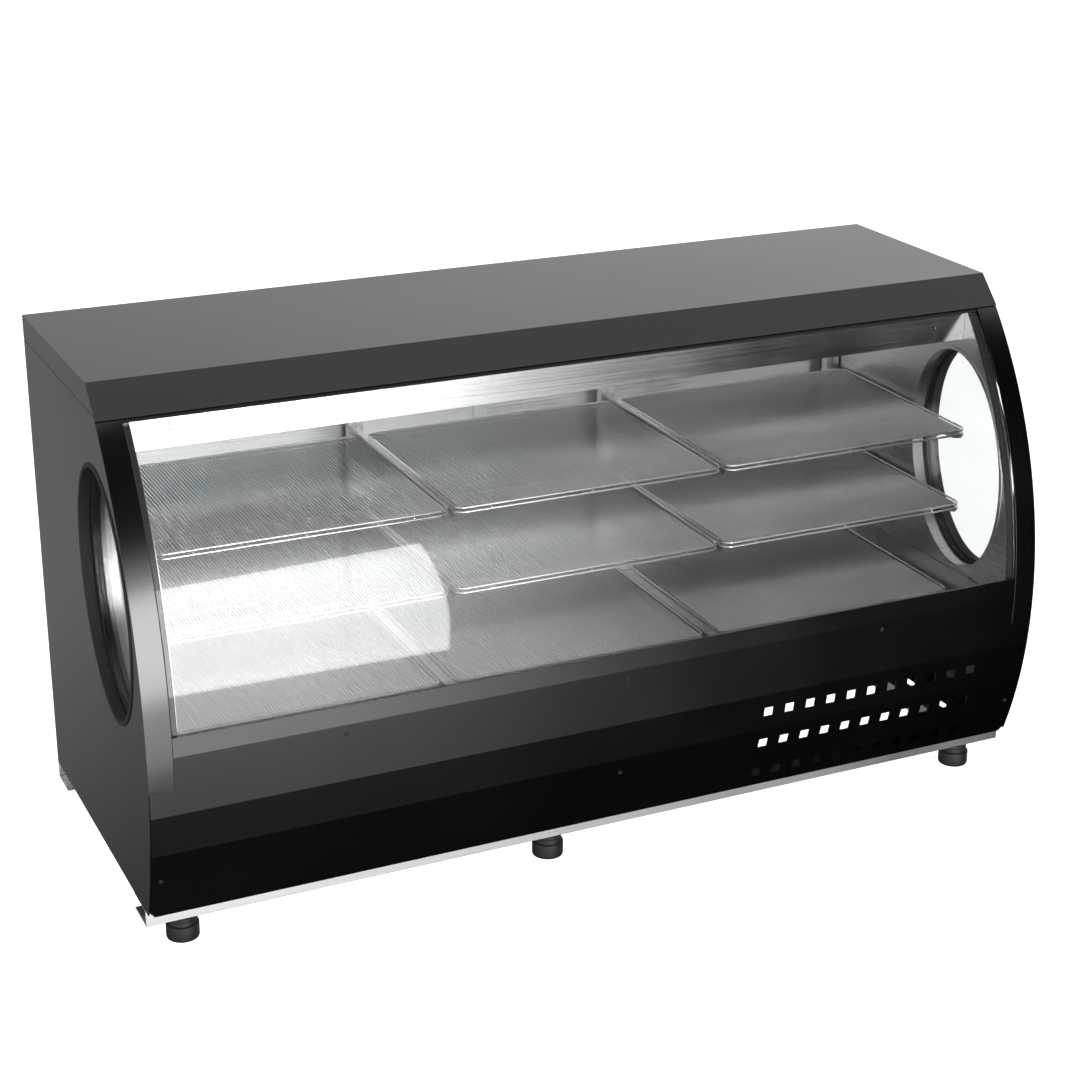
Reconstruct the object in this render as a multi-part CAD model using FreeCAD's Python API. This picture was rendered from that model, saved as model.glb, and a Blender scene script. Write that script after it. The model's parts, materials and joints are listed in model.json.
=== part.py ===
import FreeCAD, Part
import math
import os

# Counter-top hot food display case with a bowed glass front, three bays wide.
# Millimetres. +X is to the right of a customer facing the case, the glass front looks
# along -Y, +Z is up. The origin is on the surface that the case stands on, at the centre
# of its length and depth.

os.makedirs("parts", exist_ok=True)
V = FreeCAD.Vector

# ---- driving dimensions ----
length = 1500.0
depth = 588.0
height = 835.0
foot_height = 47.0
rail_height = 28.0
front_radius = 728.0        # one arc bows the whole front, from base to hood
front_centre_z = 330.0      # height of the arc's foremost point
hood_edge_y = -88.0         # where the flat top bends down into the fascia
hood_lip_z = 791.0          # lower edge of the sloped fascia
hood_skirt = 38.0           # how far the hood comes down over the sides and the back
wall_gap = 50.0             # outer skin to inner liner of the hollow side walls
pillar_width = 38.0         # front flange of a side shell, beside the glass
skin = 1.5                  # painted sheet
lining = 1.2                # stainless sheet
glass_thickness = 6.0
glass_recess = 3.5          # glass face behind the pillar face
sill_z = 373.0              # top edge of the lower front panel
deck_z = 289.0              # heated deck, upper face
shelf_levels = {"middle": 465.0, "top": 595.0}
shelf_front = -164.0
shelf_back = 219.0
bay_joints = (-231.0, 231.0)
wire_pitch = 5.3
wire_size = 2.5
rod_diameter = 3.5
rod_drop = 7.0              # lower edge rod below the upper one
porthole_centre = (-119.0, 529.0)
porthole_half = (121.5, 183.0)
porthole_lean = math.radians(12.5)
door_thickness = 7.0
vent_size = 16.0
vent_pitch = 38.5
vent_columns = 11
vent_drops = (111.0, 172.0, 233.0)   # vent rows below the arc's foremost point
drawer_half = 124.0         # half width of the water drawer's bay
control_bay = (390.0, 650.0, 112.0, 222.0)   # x and z limits of the recessed control plate

# ---- positions that follow from them ----
half = length / 2.0
front = -depth / 2.0
back = depth / 2.0
base_z = foot_height + rail_height
front_centre_y = front + front_radius
seam_z = height - hood_skirt
liner_x = half - wall_gap
pillar_x = half - pillar_width
panel_step_z = 293.0        # below this the front panel runs across the pillars
glass_face = front_radius - glass_recess
glass_back = glass_face - glass_thickness
liner_front = front_radius - 12.0
ceiling_z = 787.0
door_zone = 266.0           # everything behind this y belongs to the sliding doors
vent_rows = [front_centre_z - drop for drop in vent_drops]
rear_panel_top = deck_z + 0.7

parts = {}


# ---- shape helpers ----
def box(x0, x1, y0, y1, z0, z1):
    return Part.makeBox(x1 - x0, y1 - y0, z1 - z0, V(x0, y0, z0))


def polygon_face(points, x):
    wire = Part.makePolygon([V(x, y, z) for y, z in points + points[:1]])
    return Part.Face(wire)


def prism(points, x0, x1):
    """A (y, z) outline extruded along X."""
    return polygon_face(points, x0).extrude(V(x1 - x0, 0, 0))


def arc_y(radius, z):
    """Depth position, at height z, of a front surface with this radius."""
    return front_centre_y - math.sqrt(radius ** 2 - (z - front_centre_z) ** 2)


def front_arc(radius, z0, z1, x):
    middle = (z0 + z1) / 2.0
    ends = [V(x, arc_y(radius, z), z) for z in (z0, middle, z1)]
    return Part.Arc(*ends).toShape()


def arc_band(outer, inner, z0, z1, x0, x1):
    """The space between two front radii and two heights, extruded along X."""
    face_edges = [front_arc(outer, z0, z1, x0)]
    face_edges.append(Part.makeLine(V(x0, arc_y(outer, z1), z1), V(x0, arc_y(inner, z1), z1)))
    face_edges.append(front_arc(inner, z1, z0, x0))
    face_edges.append(Part.makeLine(V(x0, arc_y(inner, z0), z0), V(x0, arc_y(outer, z0), z0)))
    return Part.Face(Part.Wire(face_edges)).extrude(V(x1 - x0, 0, 0))


def side_block(radius, back_y, z0, z1, x0, x1, nose=0.0):
    """Side outline: bowed front, flat back, top and bottom. The nose cuts the top front corner."""
    z_nose = z1 - nose
    top_front = arc_y(radius, z_nose) + nose
    corners = [V(x0, top_front, z1), V(x0, back_y, z1), V(x0, back_y, z0), V(x0, arc_y(radius, z0), z0)]
    edges = [Part.makeLine(a, b) for a, b in zip(corners, corners[1:])]
    edges.append(front_arc(radius, z0, z_nose, x0))
    if nose > 0:
        edges.append(Part.makeLine(V(x0, arc_y(radius, z_nose), z_nose), corners[0]))
    return Part.Face(Part.Wire(edges)).extrude(V(x1 - x0, 0, 0))


def folded_sheet(points, thickness, x0, x1):
    """A sheet bent along a (y, z) line, thickened to the left of the line's direction."""
    offset = []
    for i, (y, z) in enumerate(points):
        normals = []
        for a, b in ((i - 1, i), (i, i + 1)):
            if 0 <= a and b < len(points):
                run = (points[b][0] - points[a][0], points[b][1] - points[a][1])
                size = math.hypot(*run)
                normals.append((-run[1] / size, run[0] / size))
        mean = [sum(n[k] for n in normals) / len(normals) for k in (0, 1)]
        scale = thickness / (mean[0] ** 2 + mean[1] ** 2)
        offset.append((y + mean[0] * scale, z + mean[1] * scale))
    return prism(points + offset[::-1], x0, x1)


def cylinder(radius, size, at, axis=V(0, 0, 1)):
    return Part.makeCylinder(radius, size, at, axis)


def mirrored(shape):
    return shape.mirror(V(0, 0, 0), V(1, 0, 0))


def both_sides(name, left_shape):
    parts[name + "_left"] = left_shape
    parts[name + "_right"] = mirrored(left_shape)


def compound(shapes):
    return Part.makeCompound(list(shapes))


def porthole(grow, x0, x1):
    """The leaning oval of a side window, with its half axes grown by an amount."""
    y, z = porthole_centre
    sine, cosine = math.sin(porthole_lean), math.cos(porthole_lean)
    oval = Part.Ellipse(V(0, 0, 0), porthole_half[1] + grow, porthole_half[0] + grow).toShape()
    face = Part.Face(Part.Wire([oval]))
    # long axis leant back from the vertical, short axis towards the front, normal along +X
    face.Placement = FreeCAD.Placement(FreeCAD.Matrix(
        0, 0, 1, x0,
        sine, -cosine, 0, y,
        cosine, sine, 0, z,
        0, 0, 0, 1))
    return face.extrude(V(x1 - x0, 0, 0))


# ---- base frame and feet ----
rail_depth = 60.0
rail_front = -230.0
rail_wall = 2.5
tube_size, tube_wall = 28.0, 2.0
foot_radius, foot_pad_height, foot_neck_radius = 25.0, 25.0, 21.5
stud_radius, stud_length, nut_radius, nut_height = 5.0, 44.0, 9.0, 8.0
foot_x = (-687.0, -88.0, 687.0)
foot_y = (-196.0, 262.0)


def base_rail(y_web, inward):
    """A channel lying on its side, open towards the middle of the base."""
    y0, y1 = sorted((y_web, y_web + inward * rail_depth))
    rail = box(-half, half, y0, y1, foot_height, base_z)
    hollow = box(-half - 1, half + 1, y0 + rail_wall, y1 + 1, foot_height + rail_wall, base_z - rail_wall)
    if inward < 0:
        hollow.translate(V(0, -rail_wall - 1, 0))
    rail = rail.cut(hollow)
    y_foot = foot_y[0] if inward > 0 else foot_y[1]
    for x in foot_x:
        rail = rail.cut(cylinder(stud_radius + 0.3, 3 * rail_wall, V(x, y_foot, foot_height - rail_wall)))
    return rail


def cross_tube(x):
    y0, y1 = rail_front + rail_depth, back - rail_depth
    outside, inside = tube_size / 2, tube_size / 2 - tube_wall
    tube = box(x - outside, x + outside, y0, y1, foot_height, base_z)
    return tube.cut(box(x - inside, x + inside, y0 - 1, y1 + 1, foot_height + tube_wall, base_z - tube_wall))


rails = [base_rail(rail_front, 1), base_rail(back, -1)]
parts["base_frame"] = compound(rails + [cross_tube(x) for x in foot_x])


def rubber_foot(x, y):
    pad = cylinder(foot_radius, foot_pad_height, V(x, y, 0))
    neck = cylinder(foot_neck_radius, foot_height - foot_pad_height, V(x, y, foot_pad_height))
    foot = pad.fuse(neck).removeSplitter()
    rims = [e for e in foot.Edges if e.BoundBox.XLength > 2 * foot_neck_radius + 1]
    foot = foot.makeChamfer(1.5, [e for e in rims if e.BoundBox.ZLength < 0.1])
    return foot.cut(cylinder(stud_radius + 0.25, foot_height, V(x, y, 14.0)))


def foot_stud(x, y):
    stud = cylinder(stud_radius, stud_length, V(x, y, 16.0))
    corners = []
    for k in range(7):
        angle = k * math.pi / 3
        corners.append(V(nut_radius * math.cos(angle), nut_radius * math.sin(angle), 0))
    nut = Part.Face(Part.makePolygon(corners)).extrude(V(0, 0, nut_height))
    nut.translate(V(x, y, foot_height + rail_wall))
    return stud.fuse(nut)


foot_spots = [(x, y) for x in foot_x for y in foot_y]
parts["feet"] = compound(rubber_foot(x, y) for x, y in foot_spots)
parts["foot_studs"] = compound(foot_stud(x, y) for x, y in foot_spots)

# ---- hollow side walls ----
shell_nose = 10.0           # chamfer of the top front corner, under the fascia
shell = side_block(front_radius, back, base_z, seam_z - 1, -half, -pillar_x, shell_nose)
hollow = side_block(front_radius - skin, back - skin, base_z + skin, seam_z - 1 - skin, -half + skin,
                    -pillar_x + 1, shell_nose)
shell = shell.cut(hollow)
# below the step the flange sits back, so that the front panel lies flush across it
setback = 6.0
rebate = arc_band(front_radius + 5, front_radius - setback, base_z - 5, panel_step_z, -half + skin, -pillar_x)
flange = arc_band(front_radius - setback, front_radius - setback - skin, base_z + skin, panel_step_z + 6,
                  -half + skin, -pillar_x)
joggle = arc_band(front_radius - 0.5, front_radius - setback - 0.5, panel_step_z, panel_step_z + skin,
                  -half + skin, -pillar_x)
shell = shell.cut(rebate).fuse([flange, joggle]).cut(porthole(4.0, -half - 1, -half + skin + 1))
both_sides("side_shell", shell.removeSplitter())

liner_bottom = deck_z - 4.0
liner = side_block(liner_front, door_zone, liner_bottom, ceiling_z, -pillar_x, -liner_x)
hollow = side_block(liner_front - lining, door_zone - lining, liner_bottom + lining, ceiling_z - lining,
                    -pillar_x - 1, -liner_x - lining)
liner = liner.cut(hollow)
both_sides("side_liner", liner.cut(porthole(4.0, -liner_x - lining - 1, -liner_x + 1)))

# side window: painted trim ring outside, rubber gasket, two panes, stainless sleeve inside
trim = porthole(8.0, -half - 1.5, -half).cut(porthole(0.0, -half - 2, -half + 1))
trim = trim.fuse(porthole(3.5, -half, -half + 16).cut(porthole(1.5, -half - 1, -half + 17)))
both_sides("porthole_trim", trim)
gasket = porthole(3.3, -half + 16, -half + 30).cut(porthole(-3.0, -half + 15, -half + 31))
for x in (-half + 18, -half + 24):
    gasket = gasket.cut(porthole(0.2, x, x + 4))
both_sides("porthole_gasket", gasket)
panes = [porthole(0.0, x, x + 4) for x in (-half + 18, -half + 24)]
both_sides("porthole_panes", compound(panes))
sleeve = porthole(3.5, -half + 30, -liner_x + 1.2).cut(porthole(1.5, -half + 29, -liner_x + 2))
sleeve_flange = porthole(8.0, -liner_x, -liner_x + 1.2).cut(porthole(1.5, -liner_x - 1, -liner_x + 2))
sleeve = sleeve.fuse(sleeve_flange)
sleeve = sleeve.common(side_block(liner_front - 2, back, base_z, height - 60, -half, 0))
both_sides("porthole_sleeve", sleeve)

# ---- hood ----
lip_y = arc_y(front_radius, hood_lip_z) - 2.6
hood_line = [(back, seam_z), (back, height), (hood_edge_y, height)]
hood_line += [(lip_y, hood_lip_z), (lip_y + 16, hood_lip_z)]
hood = folded_sheet(hood_line, skin, -half, half)
skirt_outline = [(back, seam_z), (back, height), (hood_edge_y, height), (lip_y + 6, seam_z)]
hood = hood.fuse([prism(skirt_outline, -half, -half + skin), prism(skirt_outline, half - skin, half)])
for side in (-1, 1):      # the lip stops short of the side walls
    x0, x1 = sorted((side * (pillar_x - 0.5), side * (half + 1)))
    hood = hood.cut(box(x0, x1, lip_y + 2.5, lip_y + 20, hood_lip_z - 1, hood_lip_z + skin + 0.1))
parts["hood_cap"] = hood.removeSplitter()

# ---- bowed glass and what holds it ----
glass_end = pillar_x - 1.0
glass_bottom, glass_top = 362.0, 785.0
parts["front_glass"] = arc_band(glass_face, glass_back, glass_bottom, glass_top, -glass_end, glass_end)
top_channel = arc_band(front_radius - 2, front_radius - 11, 777, 788, -pillar_x, pillar_x)
slot_outer, slot_inner = glass_face + 0.2, glass_back - 0.2
top_slot = arc_band(slot_outer, slot_inner, 770, glass_top + 0.2, -half, half)
parts["glass_top_channel"] = top_channel.cut(top_slot)
bottom_channel = arc_band(front_radius - 2, front_radius - 11, 357, 369, -pillar_x, pillar_x)
bottom_slot = arc_band(slot_outer, slot_inner, glass_bottom - 0.2, 375, -half, half)
parts["glass_bottom_channel"] = bottom_channel.cut(bottom_slot)
seal = arc_band(glass_back - 0.2, liner_front + 0.2, 369.5, 776.5, -pillar_x + 1, -liner_x - 1)
parts["glass_side_seals"] = compound([seal, mirrored(seal)])

# ---- lower front panel: flat facets that follow the bow ----
panel_end = half - skin - 0.5
fold_heights = [sill_z, 343.0, 252.0, 186.0, 70.0]
return_y = rail_front - 1.0
cover_z, cover_back = base_z + 0.1, rail_front + rail_depth - 2
rail_cover = [(return_y, fold_heights[-1]), (return_y, cover_z), (cover_back, cover_z)]
panel_line = [(arc_y(front_radius, z), z) for z in fold_heights] + rail_cover
panel = folded_sheet(panel_line, skin, -panel_end, panel_end)
corner_cut = 16.0           # slanted lower corners of the panel
for side in (-1, 1):
    x0, x1 = sorted((side * (pillar_x - 0.5), side * (half + 1)))
    panel = panel.cut(box(x0, x1, front - 5, 0, panel_step_z, height))
    panel = panel.cut(box(x0, x1, return_y - skin - 0.5, 0, fold_heights[-1] + skin + 0.5, base_z + 5))
    inner_x, outer_x = side * (panel_end - corner_cut), side * (panel_end + 1)
    corner = Part.makePolygon([V(inner_x, 0, 60), V(outer_x, 0, 60), V(outer_x, 0, 81), V(inner_x, 0, 60)])
    panel = panel.cut(Part.Face(corner).extrude(V(0, front - 5, 0)))
first_vent_x = 256.5
vents = []
for z in vent_rows:
    for k in range(vent_columns):
        x0, z0 = first_vent_x + k * vent_pitch - vent_size / 2, z - vent_size / 2
        vents.append(box(x0, x0 + vent_size, front - 5, rail_front + 5, z0, z0 + vent_size))
screw_spots = [(-456, 328), (0, 328), (456, 328), (-733, 137), (0, 159), (733, 137)]
parts["front_panel"] = panel.cut(compound(vents))


def facet_at(z):
    """Position and outward normal of the panel at a height."""
    for (y0, z0), (y1, z1) in zip(panel_line, panel_line[1:]):
        if z1 <= z <= z0:
            size = math.hypot(y1 - y0, z1 - z0)
            t = (z0 - z) / (z0 - z1)
            return V(0, y0 + t * (y1 - y0), z), V(0, -(z0 - z1) / size, -(y1 - y0) / size)


screws = []
for x, z in screw_spots:
    at, out = facet_at(z)
    at.x = x
    head = cylinder(3.6, 1.3, at - out * 1.0, out).cut(cylinder(1.6, 1.2, at - out * 0.6, out))
    shank = cylinder(1.9, 3.0, at - out * 3.3, out)
    screws.append(head.fuse(shank))
    clearance = cylinder(2.1, 8, at - out * 4, out).fuse(cylinder(3.8, 4, at - out * 1.1, out))
    parts["front_panel"] = parts["front_panel"].cut(clearance)
parts["panel_screws"] = compound(screws)

# ---- heated deck and what is under it ----
deck_x = liner_x - 1.0
riser_top = (arc_y(front_radius - 12.5, 355), 355.0)
deck_front, deck_back, deck_under = -256.0, door_zone - 2.0, deck_z - lining
deck_line = [riser_top, (deck_front, deck_under), (deck_back, deck_under), (deck_back, deck_z + 17)]
deck = folded_sheet(deck_line, lining, -deck_x, deck_x)
upturn_z = deck_z + 45
upturn = [(deck_front, deck_under), (deck_back, deck_under), (deck_back, upturn_z), (deck_front - 16, upturn_z)]
for side in (-1, 1):
    x0, x1 = sorted((side * deck_x, side * (deck_x - lining)))
    deck = deck.fuse(prism(upturn, x0, x1))
for x in bay_joints:        # strips between the racks
    deck = deck.fuse(box(x - 7.5, x + 7.5, -206, shelf_back, deck_z - 0.6, deck_z + 11))
slot_width, slot_pitch, slot_count = 5.0, 20.0, 14
slots = []
for bay in (-455, 0, 455):
    for k in range(slot_count):
        x0 = bay - 130 + slot_pitch * k - slot_width / 2
        for y0, y1 in ((229, 252), (-238, -218)):
            slots.append(box(x0, x0 + slot_width, y0, y1, deck_z - 3, deck_z + 1))
parts["deck"] = deck.cut(compound(slots))

tray_x, tray_y0, tray_y1, tray_bottom, tray_top = 690.0, -240.0, 262.0, 234.0, deck_under - 0.3
tray = box(-tray_x, tray_x, tray_y0, tray_y1, tray_bottom, tray_top)
inside_x = tray_x - lining
tray = tray.cut(box(-inside_x, inside_x, tray_y0 + lining, tray_y1 - lining, tray_bottom + lining, 300))
drawer_z0, drawer_z1 = 240.0, 280.0
tray = tray.cut(box(-drawer_half - 2, drawer_half + 2, 255, 270, drawer_z0 - 1, drawer_z1 + 1))
fan_spots = [(-410.0, 120.0), (410.0, 120.0)]
for x, y in fan_spots:
    tray = tray.cut(cylinder(56, 10, V(x, y, tray_bottom - 5)))

bar_radius, bar_bend, bar_z = 4.0, 30.0, 262.0


def heating_element(x_middle):
    """Tubular heater bent as a long hairpin loop, with two terminals at the front."""
    x0, x1, y0, y1, r = x_middle - 250, x_middle + 150, -205.0, 10.0, bar_bend
    k = r * (1 - math.sqrt(0.5))
    spots = [(x0, y0), (x0, y1 - r), (x0 + k, y1 - k), (x0 + r, y1)]
    spots += [(x1 - r, y1), (x1 - k, y1 - k), (x1, y1 - r), (x1, y0)]
    p = [V(x, y, bar_z) for x, y in spots]
    path = [Part.makeLine(p[0], p[1]), Part.Arc(p[1], p[2], p[3]).toShape(), Part.makeLine(p[3], p[4]),
            Part.Arc(p[4], p[5], p[6]).toShape(), Part.makeLine(p[6], p[7])]
    section = Part.Wire(Part.makeCircle(bar_radius, p[0], V(0, 1, 0)))
    element = Part.Wire(path).makePipeShell([section], True, True)
    for x in (x0, x1):
        element = element.fuse(cylinder(7, 12, V(x, y0 - 12, bar_z), V(0, 1, 0)))
    return element


parts["heating_elements"] = compound(heating_element(x) for x in (-360.0, 460.0))

fan_half, fan_depth, fan_bore, hub_radius, hub_height, blade_count = 60.0, 38.0, 57.5, 21.0, 22.0, 7


def fan_frame(x, y, z0):
    outer = box(x - fan_half, x + fan_half, y - fan_half, y + fan_half, z0, z0 + fan_depth)
    outer = outer.cut(cylinder(fan_bore, 60, V(x, y, z0 - 10)))
    motor = cylinder(hub_radius - 1, 10, V(x, y, z0))
    reach = fan_half - 1
    long_arm = box(x - reach, x + reach, y - 3, y + 3, z0, z0 + 4)
    cross_arm = box(x - 3, x + 3, y - reach, y + reach, z0, z0 + 4)
    pin = cylinder(3.0, 10, V(x, y, z0 + 9))
    return outer.fuse([motor, pin, long_arm, cross_arm]).removeSplitter()


def fan_rotor(x, y, z0):
    """A hub on the motor's pin with flat blades pitched at 55 degrees."""
    hub = cylinder(hub_radius, hub_height, V(x, y, z0 + 11)).cut(cylinder(3.05, 9, V(x, y, z0 + 10.5)))
    swept = cylinder(fan_bore - 2, hub_height, V(x, y, z0 + 11))
    blades = []
    for k in range(blade_count):
        blade = Part.makeBox(36, 2.2, 26, V(hub_radius - 2, -1.1, 0))
        blade.rotate(V(0, 0, 0), V(1, 0, 0), 55)
        blade.translate(V(0, 10, 14))
        blade.rotate(V(0, 0, 0), V(0, 0, 1), k * 360 / blade_count)
        blade.translate(V(x, y, z0))
        blades.append(blade.common(swept))
    return hub.fuse(blades).removeSplitter()


fan_floor = tray_bottom + lining
parts["fan_frames"] = compound(fan_frame(x, y, fan_floor) for x, y in fan_spots)
for side, (x, y) in zip(("left", "right"), fan_spots):
    parts["fan_rotor_" + side] = fan_rotor(x, y, fan_floor)

drawer_front_y = back - 3.0
drawer = box(-drawer_half + 4, drawer_half - 4, 30, drawer_front_y, drawer_z0 + 3, drawer_z1 - 4)
drawer_inside = box(-drawer_half + 5.2, drawer_half - 5.2, 31.2, drawer_front_y - 1.2, drawer_z0 + 4.2, 300)
drawer = drawer.cut(drawer_inside)
front_half = drawer_half - 1
drawer = drawer.fuse(box(-front_half, front_half, drawer_front_y, back, drawer_z0 + 1, rear_panel_top - 1))
drawer = drawer.cut(box(-40, 40, drawer_front_y - 3, back + 1, drawer_z1 - 16, drawer_z1 - 6))
parts["water_drawer"] = drawer
for side in (-1, 1):      # the drawer runs on two ledges welded into the tray
    for inner, outer, ledge_top in ((3.5, -4.0, drawer_z0 + 5), (12.0, 3.0, drawer_z0 + 2.6)):
        x0, x1 = sorted((side * (drawer_half - inner), side * (drawer_half - outer)))
        tray = tray.fuse(box(x0, x1, 40, 254, tray_bottom + lining / 2, ledge_top))
parts["heater_tray"] = tray.removeSplitter()

# ---- racks on cantilever brackets ----
upright_back = door_zone - 3.5
end_x = deck_x - lining - 13.0
upright_x = [-end_x] + list(bay_joints) + [end_x]
upright_half, upright_depth, upright_slots, upright_slot_pitch = 12.5, 15.0, 17, 25.0


def upright(x):
    """A slotted channel from deck to ceiling, open to the back."""
    y0 = upright_back - upright_depth
    post = box(x - upright_half, x + upright_half, y0, upright_back, deck_z + 0.2, ceiling_z - 2)
    wall = upright_half - 1.5
    post = post.cut(box(x - wall, x + wall, y0 + 1.5, upright_back + 1, 200, height))
    for k in range(upright_slots):
        z = 320 + upright_slot_pitch * k
        post = post.cut(box(x - 1.6, x + 1.6, y0 - 5, y0 + 5, z, z + 14))
    return post


parts["uprights"] = compound(upright(x) for x in upright_x)

arm_back = upright_back - upright_depth - 0.2
arm_x = [-end_x] + [x + side * 5 for x in bay_joints for side in (-1, 1)] + [end_x]
arms = []
for level in shelf_levels.values():
    seat = level - wire_size / 2 - rod_drop - rod_diameter / 2 - 0.3
    outline = [(arm_back, seat), (arm_back, seat - 42), (arm_back - 40, seat - 40)]
    outline += [(shelf_front + 30, seat - 14), (shelf_front + 14, seat - 9), (shelf_front + 6, seat)]
    arms += [prism(outline, x - 1.25, x + 1.25) for x in arm_x]
parts["shelf_brackets"] = compound(arms)


def rounded_rod(x0, x1, y0, y1, z, r=18.0):
    """A rod bent into a closed rounded rectangle."""
    k = r * (1 - math.sqrt(0.5))
    path = []
    corners = [(x0, y0, 1, 1), (x1, y0, -1, 1), (x1, y1, -1, -1), (x0, y1, 1, -1)]
    arcs = []
    for x, y, sx, sy in corners:
        on_x = V(x + sx * r, y, z)
        on_y = V(x, y + sy * r, z)
        middle = V(x + sx * k, y + sy * k, z)
        arcs.append((on_x, middle, on_y))
    for i, (on_x, middle, on_y) in enumerate(arcs):
        first, last = (on_y, on_x) if i % 2 == 0 else (on_x, on_y)
        path.append(Part.Arc(first, middle, last).toShape())
        following = arcs[(i + 1) % 4]
        start = following[0] if i % 2 == 0 else following[2]
        path.append(Part.makeLine(last, start))
    start = path[1].valueAt(path[1].FirstParameter)
    section = Part.Wire(Part.makeCircle(rod_diameter / 2, start, V(1, 0, 0)))
    return Part.Wire(path[1:] + path[:1]).makePipeShell([section], True, True)


def rack(x0, x1, y0, y1, level):
    """Close-set wires from front to back, welded to two edge rods one above the other."""
    r = rod_diameter / 2
    inset = r + 0.6
    field = box(x0 + inset, x1 - inset, y0 + inset, y1 - inset, level - wire_size, level)
    corner_edges = [e for e in field.Edges if e.BoundBox.ZLength > wire_size - 0.1]
    field = field.makeFillet(16.0, corner_edges)
    count = int((x1 - x0 - 24) / wire_pitch)
    first = (x0 + x1) / 2 - (count - 1) * wire_pitch / 2
    gap = wire_pitch - wire_size
    openings = []
    for k in range(count):
        x = first + k * wire_pitch
        openings.append(box(x - gap / 2, x + gap / 2, y0 + 9, y1 - 9, level - 5, level + 5))
    field = field.cut(compound(openings))
    rod_z = level - wire_size / 2
    frame = [rounded_rod(x0 + r, x1 - r, y0 + r, y1 - r, z) for z in (rod_z, rod_z - rod_drop)]
    posts = []
    for x in (x0 + 60, (x0 + x1) / 2, x1 - 60):
        for y in (y0 + r, y1 - r):
            posts.append(cylinder(r * 0.9, rod_drop, V(x, y, rod_z - rod_drop)))
    return field.fuse(frame + posts)


bay_spans = {"left": (-689.0, -234.0), "centre": (-228.0, 228.0), "right": (234.0, 689.0)}
for bay, (x0, x1) in bay_spans.items():
    for level_name, level in shelf_levels.items():
        parts["rack_" + level_name + "_" + bay] = rack(x0, x1, shelf_front, shelf_back, level)
deck_spans = ((-693.0, -242.0), (-220.0, 220.0), (242.0, 693.0))
parts["deck_racks"] = compound(rack(x0, x1, -142.0, shelf_back, deck_z + 12.5) for x0, x1 in deck_spans)

# ---- ceiling and lamps ----
ceiling_line = [(-70, ceiling_z + 0.3), (door_zone, ceiling_z + 0.3)]
parts["ceiling_liner"] = folded_sheet(ceiling_line, lining, -liner_x, liner_x)
band_y, band_z0, band_z1 = -116.0, 736.0, 785.0
housing_line = [(band_y + 9, band_z0), (band_y, band_z0), (band_y, band_z1), (-72, band_z1)]
housing = folded_sheet(housing_line, lining, -liner_x + 0.3, liner_x - 0.3)
screw_x = 641.0
for x in (-screw_x, screw_x):
    housing = housing.cut(cylinder(2.0, 8, V(x, band_y - 3, 761), V(0, 1, 0)))
parts["lamp_housing"] = housing
lamp_y, lamp_z, lamp_radius, lamp_half = -92.0, 764.0, 8.0, 190.0
lamps, holders = [], []
for bay in (-456.0, 0.0, 456.0):
    lamps.append(cylinder(lamp_radius, 2 * lamp_half, V(bay - lamp_half, lamp_y, lamp_z), V(1, 0, 0)))
    for side in (-1, 1):
        x0, x1 = sorted((bay + side * (lamp_half - 4), bay + side * (lamp_half + 12)))
        holder = box(x0, x1, lamp_y - 11, lamp_y + 11, lamp_z - 12, band_z1 - lining - 0.2)
        socket_x = x0 - 2 if side > 0 else x0 + 4
        holders.append(holder.cut(cylinder(lamp_radius + 0.1, 14, V(socket_x, lamp_y, lamp_z), V(1, 0, 0))))
parts["lamp_tubes"] = compound(lamps)
parts["lamp_holders"] = compound(holders)

# ---- sliding doors at the back ----
post_x = pillar_x + 2.0
posts = []
for side in (-1, 1):
    x0, x1 = sorted((side * post_x, side * (half - skin - 0.5)))
    post = box(x0, x1, door_zone, back - skin - 0.5, base_z + skin + 0.5, seam_z - skin - 1.5)
    posts.append(post.cut(box(x0 + 2, x1 - 2, door_zone + 2, back - skin - 2.5, 0, height)))
parts["rear_posts"] = compound(posts)

track_y = (door_zone + 6.5, door_zone + 16.5)      # front faces of the two grooves
groove = door_thickness + 1.0
header = box(-pillar_x, pillar_x, door_zone, back, 742, seam_z - 2)
header = header.cut(box(-pillar_x - 1, pillar_x + 1, door_zone + 2, back - 2, 760, seam_z - 4))
sill = box(-pillar_x, pillar_x, door_zone, back, deck_z + 1, deck_z + 17)
for y in track_y:
    header = header.cut(box(-half, half, y, y + groove, 740, 756))
    sill = sill.cut(box(-half, half, y, y + groove, deck_z + 10, deck_z + 20))
parts["door_header"] = header
parts["door_sill"] = sill

door_z0, door_z1 = deck_z + 10.4, 751.0
door_half = pillar_x - 0.5
overlap = 16.0
stile = 26.0
panel_tuck = 8.0            # how far a door's sheet runs into its frame
pull_half_width, pull_half_height = 6.0, 60.0


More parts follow.
